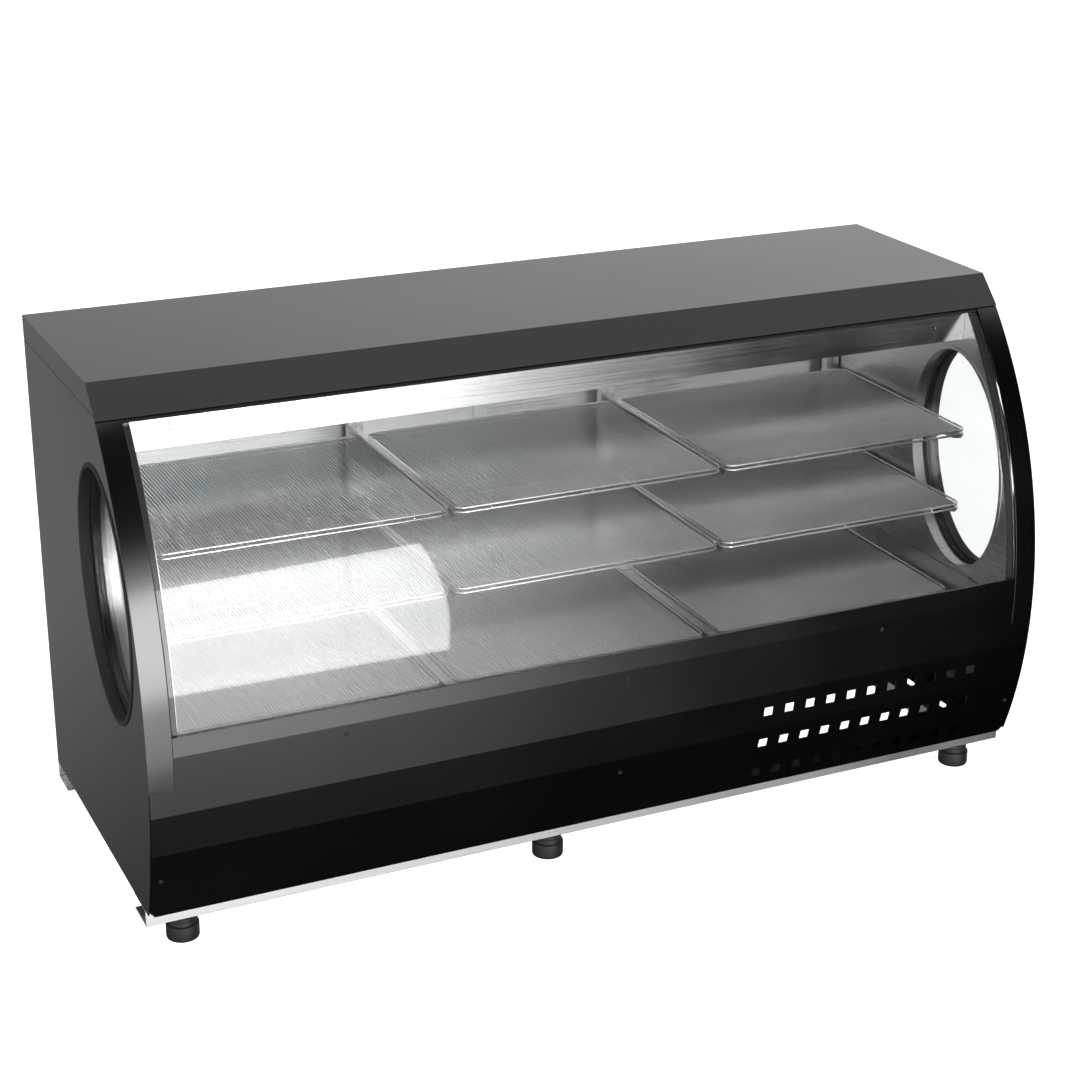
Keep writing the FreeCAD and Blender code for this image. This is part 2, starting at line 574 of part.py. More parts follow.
def sliding_door(side, x0, x1, y_groove):
    """An aluminium frame round a steel sheet, with a recessed pull in the outer stile."""
    y0 = y_groove + 0.5
    y1 = y0 + door_thickness
    frame = box(x0, x1, y0, y1, door_z0, door_z1)
    frame = frame.cut(box(x0 + stile, x1 - stile, y0 - 1, y1 + 1, door_z0 + stile, door_z1 - stile))
    reach = stile - panel_tuck
    frame = frame.cut(box(x0 + reach, x1 - reach, y0 + 1.5, y1 - 1.5, door_z0 + reach, door_z1 - reach))
    inset = reach + 0.2
    sheet = box(x0 + inset, x1 - inset, y0 + 1.6, y1 - 1.6, door_z0 + inset, door_z1 - inset)
    pull_x = x0 + 10 if side == "left" else x1 - 10
    pull_z = (door_z0 + door_z1) / 2

    def pull_box(shrink, y_front, y_rear):
        wide, tall = pull_half_width - shrink, pull_half_height - shrink
        return box(pull_x - wide, pull_x + wide, y_front, y_rear, pull_z - tall, pull_z + tall)

    parts["door_frame_" + side] = frame.cut(pull_box(0.0, y0 + 1.2, y1 + 1))
    parts["door_panel_" + side] = sheet
    parts["door_pull_" + side] = pull_box(0.1, y0 + 1.3, y1 + 0.3).cut(pull_box(1.5, y0 + 2.5, y1 + 1))


sliding_door("left", -door_half, overlap, track_y[0])
sliding_door("right", -overlap, door_half, track_y[1])

# ---- back of the base and the controls ----
panel_joint_x = -140.0      # the vented rear panel ends here and the service panel begins
rear_x = pillar_x - 0.2
vented = box(-rear_x, panel_joint_x - 0.2, back - skin, back, base_z + 0.3, rear_panel_top)
louvre_length, louvre_height, louvre_columns = 24.0, 6.0, 14
louvres = []
for k in range(louvre_columns):
    x = -640 + 34 * k
    for z in (110.0, 140.0, 170.0, 200.0):
        louvres.append(box(x, x + louvre_length, back - 5, back + 1, z, z + louvre_height))
parts["rear_panel_vented"] = vented.cut(compound(louvres))
service = box(panel_joint_x, rear_x, back - skin, back, base_z + 0.3, rear_panel_top)
service = service.cut(box(-drawer_half, drawer_half, back - 5, back + 1, drawer_z0, rear_panel_top + 1))
control_x0, control_x1, control_z0, control_z1 = control_bay
service = service.cut(box(control_x0, control_x1, back - 5, back + 1, control_z0, control_z1))
parts["rear_panel_service"] = service

recess_y = back - 28.0


def control_block(shrink, y0, y1):
    return box(control_x0 + shrink, control_x1 - shrink, y0, y1, control_z0 + shrink, control_z1 - shrink)


plate = control_block(0.2, recess_y, back - 0.2).cut(control_block(1.7, recess_y + skin, back + 1))
knob_x, control_z = 440.0, 168.0
switch_x = (510.0, 560.0)
gland_x = 618.0
plate = plate.cut(cylinder(3.6, 10, V(knob_x, recess_y - 3, control_z), V(0, 1, 0)))
for x in switch_x:
    plate = plate.cut(box(x - 11, x + 11, recess_y - 3, recess_y + 5, control_z - 15, control_z + 15))
plate = plate.cut(cylinder(10.2, 10, V(gland_x, recess_y - 3, control_z), V(0, 1, 0)))
parts["control_plate"] = plate

enclosure = box(380, 660, 170, recess_y - 0.5, 100, 229)
parts["control_box"] = enclosure.cut(box(381.5, 658.5, 171.5, recess_y, 101.5, 227.5))

knob_radius, stem_radius = 19.0, 3.0
thermostat = cylinder(19, 30, V(knob_x, recess_y - 31, control_z), V(0, 1, 0))
thermostat = thermostat.fuse(cylinder(stem_radius, 17, V(knob_x, recess_y - 1, control_z), V(0, 1, 0)))
knob = cylinder(knob_radius, 14, V(knob_x, recess_y + 4, control_z), V(0, 1, 0))
knob = knob.makeFillet(2.0, [e for e in knob.Edges if e.BoundBox.YMin > recess_y + 17])
grip = box(knob_x - 3.5, knob_x + 3.5, recess_y + 17, recess_y + 24, control_z - 16, control_z + 16)
knob_bore = cylinder(stem_radius + 0.05, 13, V(knob_x, recess_y + 3, control_z), V(0, 1, 0))
parts["thermostat_knob"] = knob.fuse(grip).cut(knob_bore)

# (depth from the recess, height from the switch's middle) round a rocker, pressed at the bottom
rocker_outline = [(3.4, -11.6), (8.2, -11.2), (4.6, 0.0), (4.6, 11.2), (-4.0, 4.0), (-4.0, -4.0)]
housings = [thermostat]
for name, x in zip(("heat_switch_rocker", "light_switch_rocker"), switch_x):
    body = box(x - 10.8, x + 10.8, recess_y - 22, recess_y + skin, control_z - 14.8, control_z + 14.8)
    bezel_y = recess_y + skin
    body = body.fuse(box(x - 13, x + 13, bezel_y, bezel_y + 2, control_z - 17, control_z + 17))
    well = box(x - 8.3, x + 8.3, recess_y - 12, recess_y + 10, control_z - 13.6, control_z + 13.6)
    housings.append(body.cut(well))
    parts[name] = prism([(recess_y + dy, control_z + dz) for dy, dz in rocker_outline], x - 8.0, x + 8.0)
parts["control_switchgear"] = compound(housings)

gland = cylinder(12, 6, V(gland_x, recess_y + skin, control_z), V(0, 1, 0))
gland = gland.fuse(cylinder(10, 14, V(gland_x, recess_y - 10, control_z), V(0, 1, 0)))
gland = gland.fuse(Part.makeCone(11, 8.5, 12, V(gland_x, recess_y + skin + 6, control_z), V(0, 1, 0)))
parts["cable_gland"] = gland.cut(cylinder(4.5, 60, V(gland_x, recess_y - 20, control_z), V(0, 1, 0)))

# ---- export ----
for name, shape in parts.items():
    shape.exportStep("parts/" + name + ".step")
    print(name, len(shape.Solids), shape.isValid(), round(shape.Volume / 1000, 1))
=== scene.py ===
import json
import math
import bmesh
import bpy
import numpy as np
from mathutils import Matrix, Vector

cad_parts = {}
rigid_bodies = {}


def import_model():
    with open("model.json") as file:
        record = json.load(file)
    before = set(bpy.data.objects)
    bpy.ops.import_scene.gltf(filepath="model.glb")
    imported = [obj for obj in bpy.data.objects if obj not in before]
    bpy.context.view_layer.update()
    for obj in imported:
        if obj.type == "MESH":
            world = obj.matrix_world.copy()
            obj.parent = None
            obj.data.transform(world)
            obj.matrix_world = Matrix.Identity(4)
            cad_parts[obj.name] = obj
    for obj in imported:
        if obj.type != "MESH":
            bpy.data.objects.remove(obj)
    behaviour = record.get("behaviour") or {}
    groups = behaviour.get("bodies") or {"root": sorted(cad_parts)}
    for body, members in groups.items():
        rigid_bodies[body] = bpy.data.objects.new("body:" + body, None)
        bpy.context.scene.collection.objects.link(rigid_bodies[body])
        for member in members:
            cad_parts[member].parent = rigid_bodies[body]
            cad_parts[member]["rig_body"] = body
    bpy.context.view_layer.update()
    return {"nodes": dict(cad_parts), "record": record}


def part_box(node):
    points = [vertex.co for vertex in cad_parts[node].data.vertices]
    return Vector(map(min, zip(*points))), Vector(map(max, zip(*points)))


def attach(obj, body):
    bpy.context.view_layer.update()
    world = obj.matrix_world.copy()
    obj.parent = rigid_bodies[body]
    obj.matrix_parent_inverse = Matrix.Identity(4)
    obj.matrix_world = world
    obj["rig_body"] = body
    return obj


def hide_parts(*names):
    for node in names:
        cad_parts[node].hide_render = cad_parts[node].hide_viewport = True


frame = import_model()
nodes = frame["nodes"]
scene = bpy.context.scene
print("frame loaded:", len(nodes), "CAD nodes")


# every surface is procedural
def newMaterial(name):
    material = bpy.data.materials.new(name)
    material.use_nodes = True
    tree = material.node_tree
    return material, tree, tree.nodes["Principled BSDF"]


def addNode(tree, kind, **values):
    node = tree.nodes.new(kind)
    for key, value in values.items():
        if key in node.inputs:
            node.inputs[key].default_value = value
        else:
            setattr(node, key, value)
    return node


# noise over Object coordinates, squeezed by a scale per axis, so a long thin scale draws grain
def grainNoise(tree, scale, detail=3.0, roughness=0.55):
    coords = addNode(tree, "ShaderNodeTexCoord")
    mapping = addNode(tree, "ShaderNodeMapping")
    mapping.inputs["Scale"].default_value = scale
    tree.links.new(coords.outputs["Object"], mapping.inputs["Vector"])
    noise = addNode(tree, "ShaderNodeTexNoise", Scale=1.0, Detail=detail, Roughness=roughness)
    tree.links.new(mapping.outputs["Vector"], noise.inputs["Vector"])
    return noise.outputs["Fac"]


def remap(tree, source, low, high, fromLow=0.3, fromHigh=0.7):
    node = addNode(tree, "ShaderNodeMapRange")
    node.inputs["From Min"].default_value = fromLow
    node.inputs["From Max"].default_value = fromHigh
    node.inputs["To Min"].default_value = low
    node.inputs["To Max"].default_value = high
    tree.links.new(source, node.inputs["Value"])
    return node.outputs["Result"]


def blendColours(tree, factor, dark, light):
    mix = addNode(tree, "ShaderNodeMix", data_type="RGBA")
    mix.inputs[6].default_value = (*dark, 1.0)
    mix.inputs[7].default_value = (*light, 1.0)
    tree.links.new(factor, mix.inputs[0])
    return mix.outputs[2]


def addBump(tree, shader, height, strength, distance):
    bump = addNode(tree, "ShaderNodeBump", Strength=strength, Distance=distance)
    tree.links.new(height, bump.inputs["Height"])
    tree.links.new(bump.outputs["Normal"], shader.inputs["Normal"])


glossSpread = {"paint": 0.03, "streak": 0.04, "cloud": 0.05, "moulded": 0.06}
bumpDepth = {"paint": 0.0004, "sheet": 0.0003, "moulded": 0.0003}


# powder coat: near-black, a soft orange peel, a slow cloudiness in the gloss
def makePaint(name, settings):
    material, tree, shader = newMaterial(name)
    cloud = grainNoise(tree, (3.0, 3.0, 3.0), 2.0)
    peel = grainNoise(tree, (settings["peelScale"],) * 3, 2.0)
    tone = blendColours(tree, remap(tree, cloud, 0.0, 1.0), settings["dark"], settings["light"])
    tree.links.new(tone, shader.inputs["Base Color"])
    base, spread = settings["roughness"], glossSpread["paint"]
    gloss = remap(tree, cloud, base - spread, base + spread)
    tree.links.new(gloss, shader.inputs["Roughness"])
    shader.inputs["Specular IOR Level"].default_value = settings["specular"]
    addBump(tree, shader, peel, settings["peelStrength"], bumpDepth["paint"])
    return material


# rolled and brushed sheet: long streaks along one axis in tone, gloss and height
def makeBrushed(name, settings):
    material, tree, shader = newMaterial(name)
    streak = grainNoise(tree, settings["grain"], 4.0, 0.6)
    cloud = grainNoise(tree, (4.0, 4.0, 4.0), 3.0)
    tone = blendColours(tree, remap(tree, streak, 0.0, 1.0), settings["dark"], settings["light"])
    tree.links.new(tone, shader.inputs["Base Color"])
    shader.inputs["Metallic"].default_value = 1.0
    base, spread = settings["roughness"], glossSpread["cloud"]
    streaky = remap(tree, streak, -glossSpread["streak"], glossSpread["streak"])
    cloudy = remap(tree, cloud, base - spread, base + spread)
    total = addNode(tree, "ShaderNodeMath", operation="ADD")
    tree.links.new(streaky, total.inputs[0])
    tree.links.new(cloudy, total.inputs[1])
    tree.links.new(total.outputs[0], shader.inputs["Roughness"])
    addBump(tree, shader, streak, settings["bump"], bumpDepth["sheet"])
    return material


# hot-dip zinc: angular spangle cells that differ in tone and gloss
def makeGalvanised(name, settings):
    material, tree, shader = newMaterial(name)
    coords = addNode(tree, "ShaderNodeTexCoord")
    cells = addNode(tree, "ShaderNodeTexVoronoi", Scale=settings["cellScale"])
    tree.links.new(coords.outputs["Object"], cells.inputs["Vector"])
    split = addNode(tree, "ShaderNodeSeparateColor")
    tree.links.new(cells.outputs["Color"], split.inputs[0])
    cellTone = split.outputs[0]
    tone = blendColours(tree, cellTone, settings["dark"], settings["light"])
    tree.links.new(tone, shader.inputs["Base Color"])
    shader.inputs["Metallic"].default_value = 1.0
    tree.links.new(remap(tree, cellTone, 0.34, 0.5, 0.0, 1.0), shader.inputs["Roughness"])
    return material


# moulded plastic or rubber: an even colour broken by fine pebbling
def makeMoulded(name, settings):
    material, tree, shader = newMaterial(name)
    pebble = grainNoise(tree, (settings["pebbleScale"],) * 3, 2.0)
    tone = blendColours(tree, remap(tree, pebble, 0.0, 1.0), settings["dark"], settings["light"])
    tree.links.new(tone, shader.inputs["Base Color"])
    base, spread = settings["roughness"], glossSpread["moulded"]
    tree.links.new(remap(tree, pebble, base - spread, base + spread), shader.inputs["Roughness"])
    addBump(tree, shader, pebble, settings["bump"], bumpDepth["moulded"])
    return material


# sheet glass: each face passes light straight on and mirrors a Fresnel share of it.
# A back face takes the inverse index, so that it mirrors as much as a front face does.
def makeGlass(name, settings):
    material, tree, shader = newMaterial(name)
    tree.nodes.remove(shader)
    geometry = addNode(tree, "ShaderNodeNewGeometry")
    index = settings["index"]
    bend = remap(tree, geometry.outputs["Backfacing"], index, 1.0 / index, 0.0, 1.0)
    fresnel = addNode(tree, "ShaderNodeFresnel")
    tree.links.new(bend, fresnel.inputs["IOR"])
    clear = addNode(tree, "ShaderNodeBsdfTransparent")
    clear.inputs["Color"].default_value = (*settings["tint"], 1.0)
    mirror = addNode(tree, "ShaderNodeBsdfGlossy", Roughness=settings["roughness"])
    mirror.inputs["Color"].default_value = (1.0, 1.0, 1.0, 1.0)
    blend = addNode(tree, "ShaderNodeMixShader")
    tree.links.new(fresnel.outputs["Fac"], blend.inputs[0])
    tree.links.new(clear.outputs[0], blend.inputs[1])
    tree.links.new(mirror.outputs[0], blend.inputs[2])
    film = addNode(tree, "ShaderNodeBsdfGlossy", Roughness=settings["filmRoughness"])
    smear = remap(tree, grainNoise(tree, (3.0, 3.0, 9.0), 4.0), settings["film"] * 0.4, settings["film"])
    wiped = addNode(tree, "ShaderNodeMixShader")
    tree.links.new(smear, wiped.inputs[0])
    tree.links.new(blend.outputs[0], wiped.inputs[1])
    tree.links.new(film.outputs[0], wiped.inputs[2])
    tree.links.new(wiped.outputs[0], tree.nodes["Material Output"].inputs["Surface"])
    return material


paintSettings = {"dark": (0.0012, 0.0012, 0.0013), "light": (0.002, 0.002, 0.0021), "roughness": 0.18,
                 "specular": 0.85, "peelScale": 900.0, "peelStrength": 0.1}
sheetSettings = {"dark": (0.56, 0.56, 0.555), "light": (0.7, 0.7, 0.695), "roughness": 0.3,
                 "grain": (6.0, 900.0, 900.0), "bump": 0.08}
sideSheetSettings = dict(sheetSettings, grain=(900.0, 6.0, 900.0))
polishedSettings = dict(sheetSettings, dark=(0.7, 0.7, 0.7), light=(0.8, 0.8, 0.8), roughness=0.16,
                        bump=0.03)
aluminiumSettings = dict(sheetSettings, dark=(0.5, 0.51, 0.52), light=(0.62, 0.63, 0.64), roughness=0.36)
zincSettings = {"dark": (0.4, 0.41, 0.42), "light": (0.6, 0.61, 0.62), "cellScale": 90.0}
wireSettings = dict(sheetSettings, dark=(0.6, 0.6, 0.6), light=(0.66, 0.66, 0.66), roughness=0.42,
                    grain=(60.0, 60.0, 60.0), bump=0.02)
rodSettings = dict(wireSettings, dark=(0.84, 0.84, 0.84), light=(0.86, 0.86, 0.86), roughness=0.3,
                   grain=(4.0, 4.0, 4.0), bump=0.0)
screwSettings = dict(wireSettings, dark=(0.3, 0.3, 0.29), light=(0.4, 0.4, 0.38), roughness=0.35)
heaterSettings = {"dark": (0.05, 0.045, 0.04), "light": (0.11, 0.1, 0.09), "roughness": 0.55,
                  "specular": 0.4, "peelScale": 400.0, "peelStrength": 0.2}
plasticSettings = {"dark": (0.014, 0.014, 0.014), "light": (0.022, 0.022, 0.022), "roughness": 0.42,
                   "pebbleScale": 1500.0, "bump": 0.15}
rubberSettings = {"dark": (0.008, 0.008, 0.008), "light": (0.016, 0.016, 0.016), "roughness": 0.6,
                  "pebbleScale": 800.0, "bump": 0.25}
glassSettings = {"index": 1.5, "tint": (0.985, 0.99, 0.988), "roughness": 0.0, "film": 0.012,
                 "filmRoughness": 0.35}
lampSettings = {"dark": (0.78, 0.78, 0.76), "light": (0.86, 0.86, 0.84), "roughness": 0.3,
                "pebbleScale": 200.0, "bump": 0.02}

blackPaint = makePaint("powder coat", paintSettings)
stainlessSheet = makeBrushed("brushed stainless", sheetSettings)
stainlessSide = makeBrushed("brushed stainless, side walls", sideSheetSettings)
polishedSheet = makeBrushed("polished stainless", polishedSettings)
galvanised = makeGalvanised("galvanised sheet", zincSettings)
satinAluminium = makeBrushed("satin aluminium", aluminiumSettings)
chromedWire = makeBrushed("chromed wire", wireSettings)
polishedRod = makeBrushed("polished rod", rodSettings)
platedScrew = makeBrushed("plated screw", screwSettings)
heaterSheath = makePaint("heater sheath", heaterSettings)
blackPlastic = makeMoulded("black plastic", plasticSettings)
blackRubber = makeMoulded("black rubber", rubberSettings)
bowedGlass = makeGlass("bowed glass", glassSettings)
windowGlass = makeGlass("window glass", dict(glassSettings, film=0.004))
lampGlass = makeMoulded("frosted lamp glass", lampSettings)

slotMaterials = {
    "black_paint": blackPaint, "stainless": stainlessSheet, "polished_stainless": polishedSheet,
    "galvanised_steel": galvanised, "bowed_glass": bowedGlass, "window_glass": windowGlass,
    "black_rubber": blackRubber, "chrome_wire": chromedWire, "satin_aluminium": satinAluminium,
    "black_plastic": blackPlastic, "heater_sheath": heaterSheath, "zinc_steel": platedScrew,
    "lamp_glass": lampGlass}
nodeSlots = {part["node"]: part["material_slot"] for part in frame["record"]["subparts"]}
sideNodes = ("side_liner_left", "side_liner_right", "porthole_sleeve_left", "porthole_sleeve_right")
for nodeName, nodeObject in nodes.items():
    material = stainlessSide if nodeName in sideNodes else slotMaterials[nodeSlots[nodeName]]
    nodeObject.data.materials.clear()
    nodeObject.data.materials.append(material)
print("materials made:", len(slotMaterials))


# quads between neighbouring points of a (rows, columns) grid; a wrapped direction joins last to first
def gridQuads(rows, columns, wrapRows=False, wrapColumns=False):
    index = np.arange(rows * columns).reshape(rows, columns)
    if wrapRows:
        index = np.concatenate([index, index[:1]], axis=0)
    if wrapColumns:
        index = np.concatenate([index, index[:, :1]], axis=1)
    corners = (index[:-1, :-1], index[1:, :-1], index[1:, 1:], index[:-1, 1:])
    return np.stack(corners, axis=-1).reshape(-1, 4)


# one mesh from several (vertices, faces) shells, with the node's body and the node's material unless another
# is given
def makePiece(name, shells, node, material=None, replace=True, smooth=True):
    vertices, faces, start = [], [], 0
    for points, shellFaces in shells:
        points = np.asarray(points, float).reshape(-1, 3)
        vertices.append(points)
        faces += [[corner + start for corner in face] for face in shellFaces]
        start += len(points)
    mesh = bpy.data.meshes.new(name)
    mesh.from_pydata(np.concatenate(vertices).tolist(), [], faces)
    mesh.polygons.foreach_set("use_smooth", [smooth] * len(mesh.polygons))
    mesh.update()
    piece = bpy.data.objects.new(name, mesh)
    scene.collection.objects.link(piece)
    mesh.materials.append(material or nodes[node].data.materials[0])
    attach(piece, nodes[node]["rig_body"])
    if replace:
        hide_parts(node)


# a round tube: circles of one radius set square to a path, ends capped when the path is open
def tubeShell(path, radius, sides, closed=False):
    path = np.asarray(path, float)
    if closed:
        tangent = np.roll(path, -1, axis=0) - np.roll(path, 1, axis=0)
    else:
        tangent = np.gradient(path, axis=0)
    tangent /= np.linalg.norm(tangent, axis=1, keepdims=True)
    steady = np.array((0.0, 0.0, 1.0)) if abs(tangent[0, 2]) < 0.9 else np.array((1.0, 0.0, 0.0))
    across = np.cross(tangent, steady)
    across /= np.linalg.norm(across, axis=1, keepdims=True)
    upward = np.cross(across, tangent)
    turn = np.linspace(0, 2 * np.pi, sides, endpoint=False)[None, :, None]
    ring = path[:, None] + radius * (np.cos(turn) * across[:, None] + np.sin(turn) * upward[:, None])
    count = len(path)
    faces = gridQuads(count, sides, closed, True)[:, ::-1].tolist()
    if not closed:
        faces.append(list(range(sides)))
        faces.append([(count - 1) * sides + k for k in range(sides)][::-1])
    return ring, faces


# corners of a rectangle in the XY plane swept round by quarter circles
def roundedLoop(x0, x1, y0, y1, z, radius, steps=8):
    turn = np.linspace(0, np.pi / 2, steps)
    quarters = []
    centres = ((x1 - radius, y1 - radius), (x0 + radius, y1 - radius), (x0 + radius, y0 + radius),
               (x1 - radius, y0 + radius))
    for k, (cx, cy) in enumerate(centres):
        angle = turn + k * np.pi / 2
        quarters.append(np.stack([cx + radius * np.cos(angle), cy + radius * np.sin(angle),
                                  np.full(steps, z)], axis=1))
    return np.concatenate(quarters)


# a closed (y, z) outline carried along X and capped at both ends
def extrudedShell(profile, x):
    profile = np.asarray(profile, float)
    count = len(profile)
    points = np.empty((len(x), count, 3))
    points[..., 0] = np.asarray(x)[:, None]
    points[..., 1:] = profile[None]
    faces = gridQuads(len(x), count, False, True).tolist()
    faces.append(list(range(count))[::-1])
    faces.append([(len(x) - 1) * count + k for k in range(count)])
    return points, faces


# a (radius, height) profile turned about an axis: centre + height * axis + radius * (cos, sin) round it
def turnedShell(profile, centre, axis=(0.0, 0.0, 1.0), steps=48):
    profile = np.asarray(profile, float)
    axis = np.asarray(axis, float) / np.linalg.norm(axis)
    helper = np.array((1.0, 0.0, 0.0)) if abs(axis[0]) < 0.9 else np.array((0.0, 1.0, 0.0))
    across = np.cross(axis, helper)
    across /= np.linalg.norm(across)
    beside = np.cross(axis, across)
    turn = np.linspace(0, 2 * np.pi, steps, endpoint=False)[None, :, None]
    ring = np.cos(turn) * across + np.sin(turn) * beside
    points = np.asarray(centre) + profile[:, 1][:, None, None] * axis + profile[:, 0][:, None, None] * ring
    faces = gridQuads(len(profile), steps, False, True)[:, ::-1].tolist()
    faces.append(list(range(steps))[::-1])
    faces.append([(len(profile) - 1) * steps + k for k in range(steps)])
    return points, faces


# a closed (growth, depth) profile carried round a closed path: path + growth * outward + depth * side
def ringShell(profile, path, outward, side):
    profile = np.asarray(profile, float)
    points = path[:, None] + profile[None, :, :1] * outward[:, None] + profile[None, :, 1:] * np.asarray(side)
    return points, gridQuads(len(path), len(profile), True, True).tolist()


# straight corners of an outline replaced by arcs that leave each corner by reach
def roundedOutline(corners, reach, steps=4):
    corners = np.asarray(corners, float)
    before = np.roll(corners, 1, axis=0) - corners
    after = np.roll(corners, -1, axis=0) - corners
    before /= np.linalg.norm(before, axis=1, keepdims=True)
    after /= np.linalg.norm(after, axis=1, keepdims=True)
    t = np.linspace(0, 1, steps)[None, :, None]
    start, end = (corners + reach * before)[:, None], (corners + reach * after)[:, None]
    arc = (1 - t) ** 2 * start + 2 * t * (1 - t) * corners[:, None] + t ** 2 * end
    return arc.reshape(-1, corners.shape[1])


softening = {"weld": 2e-6, "segments": 2, "angle": 25, "weight": 80}


# a copy of a CAD sheet part with every sharp edge rounded off and its curved faces shaded smoothly
def softenNode(node, width):
    source = nodes[node]
    mesh = source.data.copy()
    builder = bmesh.new()
    builder.from_mesh(mesh)
    bmesh.ops.remove_doubles(builder, verts=builder.verts, dist=softening["weld"])
    builder.to_mesh(mesh)
    builder.free()
    piece = bpy.data.objects.new("soft_" + node, mesh)
    scene.collection.objects.link(piece)
    mesh.name = piece.name
    mesh.materials.clear()
    mesh.materials.append(source.data.materials[0])
    mesh.polygons.foreach_set("use_smooth", [True] * len(mesh.polygons))
    bevel = piece.modifiers.new("edges", "BEVEL")
    bevel.width = width
    bevel.segments = softening["segments"]
    bevel.limit_method = "ANGLE"
    bevel.angle_limit = math.radians(softening["angle"])
    bevel.use_clamp_overlap = True
    bevel.miter_outer = "MITER_ARC"
    shading = piece.modifiers.new("shading", "WEIGHTED_NORMAL")
    shading.weight = softening["weight"]
    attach(piece, source["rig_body"])
    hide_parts(node)


# bowed front glass
# point(u, v) = (x(u), cy - R cos(a(v)), cz + R sin(a(v))), once for each face, joined round the rim
glass = {"radius": 0.7245, "thickness": 0.006, "centreZ": 0.330, "arcSteps": 96, "lengthSteps": 24,
         "edge": 0.0012}


def makeFrontGlass():
    low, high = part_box("front_glass")
    radius, edge, centreZ = glass["radius"], glass["edge"], glass["centreZ"]
    inner = radius - glass["thickness"]
    x = np.linspace(low.x, high.x, glass["lengthSteps"])
    x = np.concatenate([[low.x], [low.x + edge], x[1:-1], [high.x - edge], [high.x]])
    startAngle = math.asin((low.z - centreZ) / radius)
    endAngle = math.asin((high.z - centreZ) / radius)
    inset = edge / radius
    face = np.linspace(startAngle + inset, endAngle - inset, glass["arcSteps"])
    radii = np.concatenate([np.full(len(face), radius), [radius - edge, inner + edge],
                            np.full(len(face), inner), [inner + edge, radius - edge]])
    angles = np.concatenate([face, [endAngle] * 2, face[::-1], [startAngle] * 2])
    profile = np.stack([low.y + radius - radii * np.cos(angles), centreZ + radii * np.sin(angles)], axis=1)
    makePiece("front_glass_pane", [extrudedShell(profile, x)], "front_glass")


# (y, z) of points on arcs about the middle of the bow: y = cy - sqrt(r^2 - (z - cz)^2)
def onArc(radius, z):
    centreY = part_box("front_glass")[0].y + glass["radius"]
    return np.stack([centreY - np.sqrt(radius ** 2 - (z - glass["centreZ"]) ** 2), z], axis=1)


channel = {"bottom": 0.7840, "slotTop": 0.7852, "outer": 0.7260, "slotOut": 0.7247, "slotIn": 0.7183,
           "inner": 0.7170}


# the channel over the glass, kept so low that it hides in the hood
def makeTopChannel():
    low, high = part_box("glass_top_channel")
    bottom, slotTop, outer = channel["bottom"], channel["slotTop"], channel["outer"]
    slotOut, slotIn, inner = channel["slotOut"], channel["slotIn"], channel["inner"]
    outline = np.array([(outer, bottom), (outer, high.z), (inner, high.z), (inner, bottom), (slotIn, bottom),
                        (slotIn, slotTop), (slotOut, slotTop), (slotOut, bottom)])
    profile = onArc(outline[:, 0], outline[:, 1])[::-1]
    shell = extrudedShell(profile, (low.x, high.x))
    makePiece("top_channel", [shell], "glass_top_channel", smooth=False)


web = {"radii": (0.7243, 0.7085), "gap": 0.0002, "thickness": 0.0007, "steps": 40}


# thin black webs that close the slit between each end of the glass and the side wall behind it; they are
# painted shade, dark sheets that stand in for the shade in that slit
def makeSlitShadeWebs():
    low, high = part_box("glass_side_seals")
    z = np.linspace(low.z, high.z, web["steps"])
    front, back = [onArc(radius, z) for radius in web["radii"]]
    outline = np.concatenate([front, back[::-1]])
    near = high.x + web["gap"]
    far = near + web["thickness"]
    shells = [extrudedShell(outline, span) for span in ((-far, -near), (near, far))]
    # painted shade: black sheets put in the slit so that it reads dark
    makePiece("slit_shade_webs", shells, "glass_side_seals", replace=False, smooth=False)


makeFrontGlass()
makeTopChannel()
makeSlitShadeWebs()
print("front glass made")

# wire racks
rack = {"wire": 0.0027, "pitch": 0.0053, "rod": 0.0035, "drop": 0.007, "corner": 0.01625, "wireSides": 6,
        "rodSides": 10, "posts": (0.13, 0.5, 0.87), "postSides": 8, "postShare": 0.9, "margin": 0.012,
        "bayJoint": 0.231, "divider": 0.011}


# parallel straight wires as one array (wire, end, side): (x + r cos(a), y(end), z + r sin(a))
def wireShell(x, yFront, yBack, z):
    sides = rack["wireSides"]
    turn = np.linspace(0, 2 * np.pi, sides, endpoint=False) + np.pi / sides
    radius = rack["wire"] / 2
    ends = np.stack([yFront, yBack], axis=1)
    grid = np.empty((len(x), 2, sides, 3))
    grid[..., 0] = x[:, None, None] + radius * np.cos(turn)
    grid[..., 1] = ends[:, :, None]
    grid[..., 2] = z + radius * np.sin(turn)
    one = gridQuads(2, sides, False, True)
    offsets = np.arange(len(x))[:, None, None] * 2 * sides
    faces = (one[None] + offsets).reshape(-1, 4).tolist()
    caps = np.arange(sides)[None, :] + np.arange(len(x))[:, None] * 2 * sides
    faces += caps[:, ::-1].tolist() + (caps + sides).tolist()
    return grid, faces


